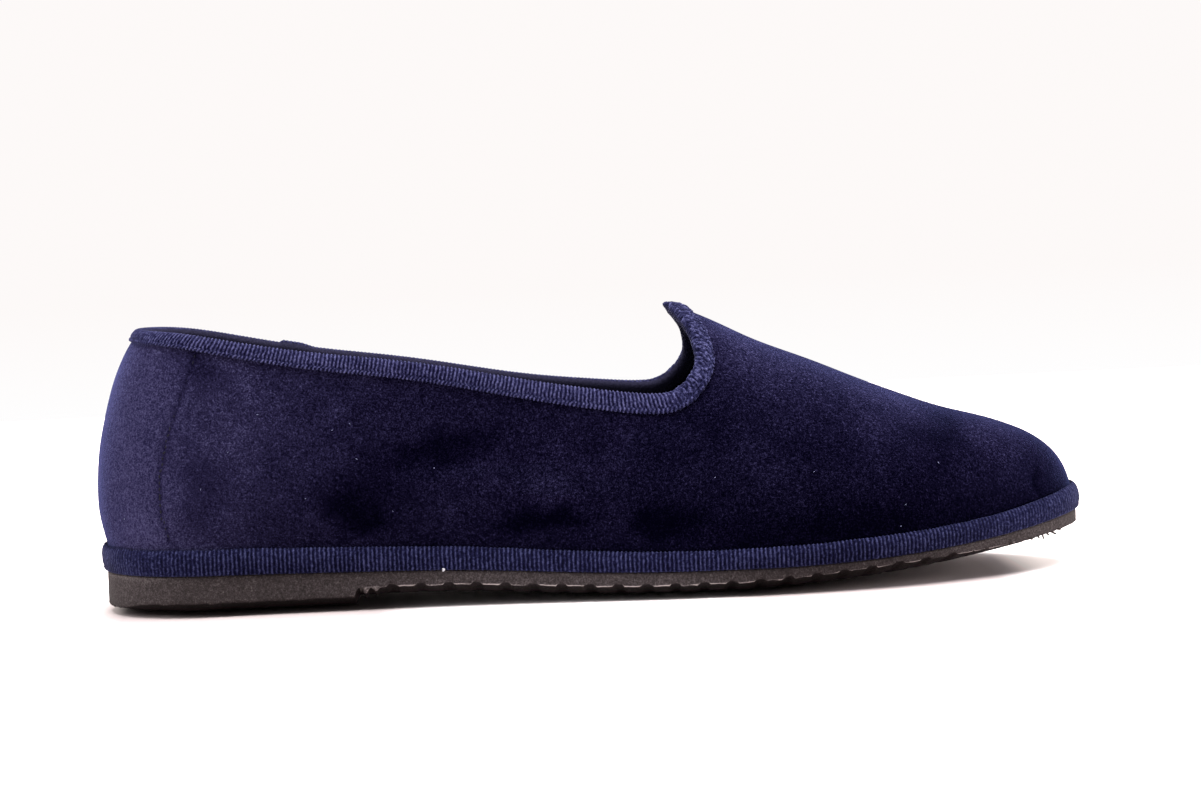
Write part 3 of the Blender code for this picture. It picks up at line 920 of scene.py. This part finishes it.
# Section of the rubber: distance outwards from the upper, share of the height, share of the
# way to the pad, share of the tread's cut, and roughness.
SOLE_SECTION = table(
    "reach part blend cut rough",
    (-1.5, 1, 0, 0, 0),
    (0.55, 1, 0, 0, 0.3),
    (0.86, 0.93, 0, 0, 0.6),
    (0.9, 0.75, 0, 0, 1),
    (0.9, 0.5, 0, 0, 1),
    (0.9, 0.26, 0, 0, 1),
    (0.88, 0.11, 0, 1, 0.8),
    (0.92, 0.05, 0, 1, 0.8),
    (0.66, 0, 0, 1, 1.4),
    (0.1, 0, 0, 1, 1.2),
    (-3.3, 0, 0.5, 1, 0.6),
    (-7.8, 0, 0.84, 1, 0.5),
    (-11, 0, 0.96, 0.5, 0.4),
    (-13.1, 0, 1, 0, 0),
)


def tread(station):
    """Depth of the grooves that the tread cuts into the sole's edge."""
    place = np.mod(station - LUGS_START, LUG_PITCH)
    groove = ease(place / LUG_SLOPE) * ease((LUG_GROOVE + 0.6 - place) / LUG_SLOPE)
    return LUG_DEPTH * groove * (station > LUGS_START) * (station < LUGS_END)


def sole_outline(count):
    """Places round the sole, the same count on both sides, and their stations."""
    turns = np.linspace(0, 1, count + 1)
    rings = np.concatenate([turns, (2 - turns)[-2:0:-1]])
    return rings, edge_station(turn_of(rings))


def closed_quads(count, rows):
    """Faces of a flat solid whose first and last rows are closed across it."""
    total = 2 * count
    here = np.arange(count)
    cap = np.stack([here, here + 1, total - here - 1, (total - here) % total], 1) * rows
    return np.concatenate([loop_quads(total, rows)[:, ::-1], cap, cap[:, ::-1] + rows - 1])


def build_sole():
    count = 640
    rings, station = sole_outline(count)
    ahead = ease(station, HEEL_BLOCK - 0.4, HEEL_BLOCK + 0.4)
    pad = np.maximum(pad_curve(station), 0.0) * ahead
    edge = HEEL_EDGE + (edge_curve(station) - HEEL_EDGE) * ahead
    edge = edge - CORNER_DROP * ease(station, 15, 3)
    top = top_curve(station)
    groove = tread(station)
    upper_edge, lower_edge, crown, underside = 2, slice(7, 9), slice(9, 11), slice(11, None)
    rows = len(SOLE_SECTION["reach"])
    points = np.zeros((len(rings), rows, 3))
    for j, (reach, part, blend, cut, rough) in enumerate(rows_of(SOLE_SECTION)):
        place = offset_point(rings, 0.0, reach)
        low = edge + groove * cut
        height = low + (top - low) * part + (pad - edge) * blend
        for middle, width, drop in rows_of(TEETH):
            hang = drop * np.exp(-(((station - middle) / width) ** 4))
            height -= hang * (part < 0.05) * (blend < 0.6)
        if 0 < j < rows - 1:
            ragged = rough * layered_noise(place, (0.3, 2.1, 31), (0.22, 5.0, 32))
            height = height + 0.6 * ragged * (part < 0.3)
            place = place + outward(rings, 0.0) * (0.12 * ragged)[:, None]
        place[:, 2] = np.maximum(height, pad) if blend else height
        points[:, j] = place
    quads = closed_quads(count, rows)
    piece = make_piece("rubber_sole", points, quads, [rubber_material()], "outsole")
    land = ease(1 - groove / (0.5 * LUG_DEPTH))
    land = land * (station > LUGS_START - 6) * (station < LUGS_END + 12)
    # Painted into the rubber's colour: a painted highlight along the heel's upper edge, a pale
    # lower edge on the lugs that is partly wear and partly painted highlight, and painted shade
    # on the crown and the underside.
    wear_and_highlight = np.clip(0.9 + 1.6 * smooth_noise(points[:, 7], 5.0, 33), 0, 1.6)
    wear_and_highlight = wear_and_highlight * (0.45 + 0.55 * ease(station, 76, 82))
    wear_and_shading = np.zeros((len(rings), rows))
    wear_and_shading[:, upper_edge] = 0.5 * ease(station, 26, 14)
    wear_and_shading[:, lower_edge] = (1.8 * land * wear_and_highlight)[:, None]
    wear_and_shading[:, crown] = -1.8
    wear_and_shading[:, underside] = -1.25
    paint(piece, "wear_and_shading", wear_and_shading)


def build_footbed():
    """The sock lining that closes the inside of the shoe."""
    count = 120
    rings, station = sole_outline(count)
    seat = seat_height(station)
    inside = -WALL - GAP
    rows = (
        (inside - 1.6, seat + INSOLE_THICK),
        (inside - 0.7, seat + INSOLE_THICK - 0.4),
        (inside - 0.1, seat),
    )
    points = np.zeros((len(rings), len(rows), 3))
    for j, (reach, height) in enumerate(rows):
        points[:, j] = offset_point(rings, 0.0, reach)
        points[:, j, 2] = height
    cloth = plain_material("sock_lining", (0.016, 0.016, 0.04), 0.95, 0.6)
    quads = closed_quads(count, len(rows))
    make_piece("footbed", points, quads, [cloth], "insole")


def build_counter():
    """Stiffener patch inside the heel."""
    columns, rows = 61, 30
    rings = np.linspace(-COUNTER_TURN, COUNTER_TURN, columns)
    bottom = level_at_height(rings, np.full((columns, 1), INSOLE_THICK + 3 * GAP))[:, 0]
    top = level_below_topline(np.mod(rings, 2), np.full((1, 1), TAPE_INSIDE + GAP + 0.4))[:, 0]
    levels = np.linspace(bottom, top, rows).T
    outer = offset_point(rings[:, None], levels, -WALL - GAP)
    inner = offset_point(rings[:, None], levels, -WALL - GAP - COUNTER_THICK)
    points = np.concatenate([outer, inner[:, ::-1]], 1)
    wide, j = 2 * rows, np.arange(rows - 1)
    sides = loop_quads(columns, wide, wrap_rows=True)[:-wide]
    cap = np.stack([j, j + 1, wide - 2 - j, wide - 1 - j], 1)
    quads = np.concatenate([sides, cap, cap[:, ::-1] + (columns - 1) * wide])
    cloth = plain_material("counter_cloth", (0.012, 0.012, 0.032), 0.9, 0.5)
    make_piece("counter_patch", points, quads, [cloth], "heel_counter")


# SMALL PARTS


def place_on_side(side, station, height, out):
    """Point that far outside the upper, with its ring and level."""
    rings = (0, 1) if side < 0 else (1, 2)
    ring, level = grid_of(np.linspace(*rings, 301), np.linspace(0, 1, 81))
    grid = upper_point(ring, level)
    best = int(np.argmin(np.hypot(station_of(grid) - station, grid[:, 2] - height)))
    ring, level = ring[best], level[best]
    return grid[best] + outward(ring, level) * out, ring, level


# Rings of a short thread: place along it and share of its radius.
CAPSULE = ((0, 0.15), (0.12, 0.85), (0.5, 1.0), (0.88, 0.85), (1, 0.15))


def capsules(name, ends, radius, material):
    """Short rounded threads, each from one end to the other."""
    sides = 6
    angles = np.arange(sides)[:, None] * 2 * np.pi / sides
    tube = loop_quads(len(CAPSULE), sides, wrap_rows=True)[:-sides, ::-1]
    cap = np.array([(0, 1, 2, 3), (0, 3, 4, 5)])
    last = sides * (len(CAPSULE) - 1)
    faces = np.concatenate([np.roll(tube, 1, 1), cap[:, ::-1], cap + last])
    points, quads = [], []
    for start, end in ends:
        axis = unit(end - start)
        across = unit(np.cross(axis, (0.31, 0.52, 0.79)))
        spokes = across * np.cos(angles) + np.cross(axis, across) * np.sin(angles)
        quads.extend(faces + len(points))
        for along, share in CAPSULE:
            points.extend(start + (end - start) * along + spokes * radius * share)
    make_piece(name, points, quads, [material])


STITCH_PITCH, STITCH_HALF, STITCH_RADIUS = 1.55, 0.48, 0.27
LINT_RADIUS, FLUFF_RADIUS, FRAY_RADIUS = 0.075, 0.17, 0.3


def build_stitches():
    """The rows of stitches that hold the counter, one on each side."""
    thread = plain_material("counter_thread", (0.0025, 0.0022, 0.008), 0.8)
    for side, word in ((-1, "outer"), (1, "inner")):
        ends = []
        for middle in np.arange(15.5, 69.5, STITCH_PITCH):
            heights = (middle - STITCH_HALF, middle + STITCH_HALF)
            ends.append([place_on_side(side, counter_line(h), h, -0.3)[0] for h in heights])
        capsules("counter_stitches_" + word, ends, STITCH_RADIUS, thread)


# Specks of lint on the outer side: place, length and lean in degrees.
LINT = table(
    "station height long lean",
    (195.6, 45.1, 0.7, 10),
    (212.4, 35.1, 0.6, 40),
    (223.7, 31.1, 0.9, 75),
    (213.3, 20.7, 0.5, 0),
    (211.6, 15.3, 0.5, 20),
    (217.7, 28.4, 0.4, -30),
    (208.8, 37.4, 0.5, 60),
    (189.6, 30.8, 0.5, 15),
    (28.3, 33.7, 0.6, 80),
    (70.1, 39.9, 0.6, -20),
    (64.3, 47.5, 0.5, 35),
    (44.2, 52.3, 0.5, 5),
    (36.1, 42.6, 0.4, 60),
    (68.5, 48.7, 0.4, -45),
    (55.5, 29.7, 0.4, 20),
    (7.8, 25.6, 0.6, 70),
    (90.6, 36.4, 0.5, 0),
    (135.5, 40.2, 0.5, 30),
    (79.2, 25.6, 0.4, -60),
    (163.2, 30.9, 0.5, 45),
)
# Threads of fluff on the sole edge: place along it and turn in radians.
FLUFF = ((0.0, 0.9), (0.2, 0.2), (0.45, -0.5), (0.7, 0.3), (0.95, 0.1), (1.2, 2.5))
FLUFF_STATION = 91.0
FLUFF_HALF = 0.38
# Torn slivers of rubber under the toe and the heel.
FRAYS = table(
    "station long lean",
    (248, 1.6, -20),
    (251, 1.2, -60),
    (252.6, 1.7, -80),
    (253.8, 1.3, -50),
    (254.8, 2.2, -25),
    (257, 1.4, -10),
    (242, 1.6, -8),
    (235, 1.4, -8),
    (8.5, 1.1, -35),
    (11.5, 1.5, -8),
    (69.2, 1.4, -75),
)


def build_lint():
    lint = plain_material("lint", (0.16, 0.17, 0.28), 0.9)
    ends = []
    for station, height, long, lean in rows_of(LINT):
        centre, ring, level = place_on_side(-1, station, height, 0.15)
        along, up, turn = along_ring(ring, level), up_wall(ring, level), math.radians(lean)
        half = (along * math.cos(turn) + up * math.sin(turn)) * long / 2
        ends.append((centre - half, centre + half))
    capsules("lint_specks", ends, LINT_RADIUS, lint)
    fluff = plain_material("white_fluff", (0.5, 0.49, 0.53), 0.9)
    ends = []
    for shift, turn in FLUFF:
        centre = place_on_side(-1, FLUFF_STATION + 0.8 * shift, 10.0, GAP + 2.3)[0]
        centre = centre + (0, 0, 0.22 * math.sin(6 * shift))
        half = np.array((math.cos(turn), 0.2, math.sin(turn))) * FLUFF_HALF
        ends.append((centre - half, centre + half))
    capsules("fluff", ends, FLUFF_RADIUS, fluff)


def build_frays():
    ends = []
    for station, long, lean in rows_of(FRAYS):
        turn = math.acos(1 - 2 * (station - HEEL_STATION) / (TOE_STATION - HEEL_STATION))
        place = offset_point(turn / math.pi, 0.0, 0.55)
        place[2] = 0.35 + (edge_curve(station) if station > HEEL_BLOCK else HEEL_EDGE)
        lean = math.radians(lean)
        heading = np.array((math.cos(lean), -0.15, math.sin(lean)))
        ends.append((place, place + heading * long))
    rubber = plain_material("torn_rubber", (0.03, 0.023, 0.022), 0.9, 0.5)
    capsules("rubber_frays", ends, FRAY_RADIUS, rubber)


# SCENE

# Sizes of the stage, in metres.
FLOOR_WIDE, FLOOR_DEEP, FLOOR_Y = 6.0, 2.8, -0.6
WALL_WIDE, WALL_TALL, WALL_Y = 14.0, 10.0, 3.0
PAPER = (0.9, 0.83, 0.84)
SHADED_PAPER = (0.46, 0.395, 0.395)
# The paper carries a painted shadow: it is darker in two ellipses under the ball and the heel,
# and glows as painted light past both ends of the shoe, so that the shadow is dark and short.
SHADED = table("middle half", (0.072, 0.046), (-0.095, 0.05))
SHADED_Y, SHADED_HALF_DEEP = -0.01, 0.14
LIT_MIDDLE, LIT_START, LIT_EDGE = -0.008, 0.119, 0.0125
HORIZON_FADE, HORIZON_START = 9.0, 1.3  # the wall's fading for each metre and at the floor


def light(name, place, target, power, size, colour=(1, 1, 1)):
    lamp = bpy.data.lights.new(name, "AREA")
    lamp.energy, lamp.color = power, colour
    lamp.shape, lamp.size, lamp.size_y = "RECTANGLE", *size
    thing = bpy.data.objects.new(name, lamp)
    bpy.context.scene.collection.objects.link(thing)
    thing.location = Vector(place)
    heading = Vector(target) - thing.location
    thing.rotation_euler = heading.to_track_quat("-Z", "Y").to_euler()


def plane(name, location, scale, material):
    bpy.ops.mesh.primitive_plane_add(size=1, location=location)
    thing = bpy.context.object
    thing.name = name
    thing.scale = (*scale, 1)
    thing.data.materials.append(material)
    return thing


def paper_material():
    paper = Nodes("white_paper", PAPER, 0.9)
    x, y = paper.add("ShaderNodeSeparateXYZ", Vector=paper.place).outputs[:2]
    # Painted shadow: the paper is darker under the ball and the heel.
    reach = 1.0
    for middle, half in rows_of(SHADED):
        along = paper.blend(-middle / half, (x, FLOOR_WIDE / half))
        start = (FLOOR_Y - SHADED_Y) / SHADED_HALF_DEEP
        across = paper.blend(start, (y, FLOOR_DEEP / SHADED_HALF_DEEP))
        reach = paper.math("MINIMUM", reach, paper.blend(0.0, (along, along), (across, across)))
    paper.surface(paper.ramp(reach, (0.55, SHADED_PAPER), (1.0, PAPER)), 0.1)
    # Painted light: the paper glows past both ends of the shoe.
    from_middle = paper.blend(-LIT_MIDDLE, (x, FLOOR_WIDE))
    past_ends = paper.math("SUBTRACT", paper.math("ABSOLUTE", from_middle), LIT_START)
    lit = paper.math("MULTIPLY", past_ends, 1 / LIT_EDGE, clamp=True)
    paper.set(paper.shader, **{"Emission Color": (0.62, 0.55, 0.51, 1), "Emission Strength": lit})
    return paper.material


def backdrop_material():
    glow = Nodes("lit_backdrop", (0, 0, 0), 1.0)
    up = glow.add("ShaderNodeSeparateXYZ", Vector=glow.place).outputs["Y"]
    fade = glow.blend(HORIZON_START, (up, HORIZON_FADE * WALL_TALL))
    tint = glow.ramp(fade, (0.0, (0.996, 0.99, 0.992)), (1.0, (0.981, 0.948, 0.938)))
    glow.surface((0, 0, 0, 1), 0.0)
    glow.set(glow.shader, **{"Emission Color": tint, "Emission Strength": 1.0})
    return glow.material


def build_stage():
    world = bpy.data.worlds.new("studio")
    bpy.context.scene.world = world
    world.use_nodes = True
    background = world.node_tree.nodes["Background"].inputs
    background["Color"].default_value = (1.0, 0.985, 0.98, 1)
    background["Strength"].default_value = 0.32
    light("top_light", (0.05, -0.1, 1.2), (0.02, 0, 0.03), 48.0, (1.4, 1.0))
    light("heel_light", (-1.0, -0.35, 0.6), (-0.05, 0, 0.04), 7.0, (0.5, 0.6))
    light("toe_light", (1.1, -0.05, 0.26), (0.11, 0, 0.0), 7.0, (0.4, 0.3), (1, 0.95, 0.93))
    floor = plane("floor", (0, FLOOR_Y, -0.0005), (FLOOR_WIDE, FLOOR_DEEP), paper_material())
    wall = plane("backdrop", (0, WALL_Y, 0), (WALL_WIDE, WALL_TALL), backdrop_material())
    wall.rotation_euler = (math.pi / 2, 0, 0)


CAMERA_DISTANCE = 1100.0
SENSOR_WIDTH = 36.0
CAMERA_RISE = 3.8  # degrees above level
CAMERA_YAW = -3.0  # degrees round the shoe
CAMERA_ROLL = 2.5  # the floor climbs a little to the right
CAMERA_TARGET = (3.05, -1.3, 50.0)
CAMERA_LENS = 121.62


def build_camera():
    yaw, climb, roll = (math.radians(a) for a in (CAMERA_YAW, CAMERA_RISE, CAMERA_ROLL))
    level = math.cos(climb)
    back = Vector((math.sin(yaw) * level, -math.cos(yaw) * level, math.sin(climb)))
    right = (-back).cross(Vector((0, 0, 1))).normalized()
    up = right.cross(-back).normalized()
    cosine, sine = math.cos(roll), math.sin(roll)
    right, up = right * cosine - up * sine, right * sine + up * cosine
    place = (Vector(CAMERA_TARGET) + back * CAMERA_DISTANCE) * MM
    camera = bpy.data.cameras.new("camera")
    camera.lens, camera.sensor_width = CAMERA_LENS, SENSOR_WIDTH
    camera.clip_start, camera.clip_end = 0.05, 20.0
    thing = bpy.data.objects.new("camera", camera)
    bpy.context.scene.collection.objects.link(thing)
    turn = Matrix((right, up, back)).transposed().to_4x4()
    thing.matrix_world = Matrix.Translation(place) @ turn
    bpy.context.scene.camera = thing


def main():
    build_upper()
    build_binding()
    build_band()
    build_sole()
    build_footbed()
    build_counter()
    build_stitches()
    build_lint()
    build_frays()
    build_stage()
    build_camera()
    bpy.context.scene.view_settings.view_transform = "Standard"


main()
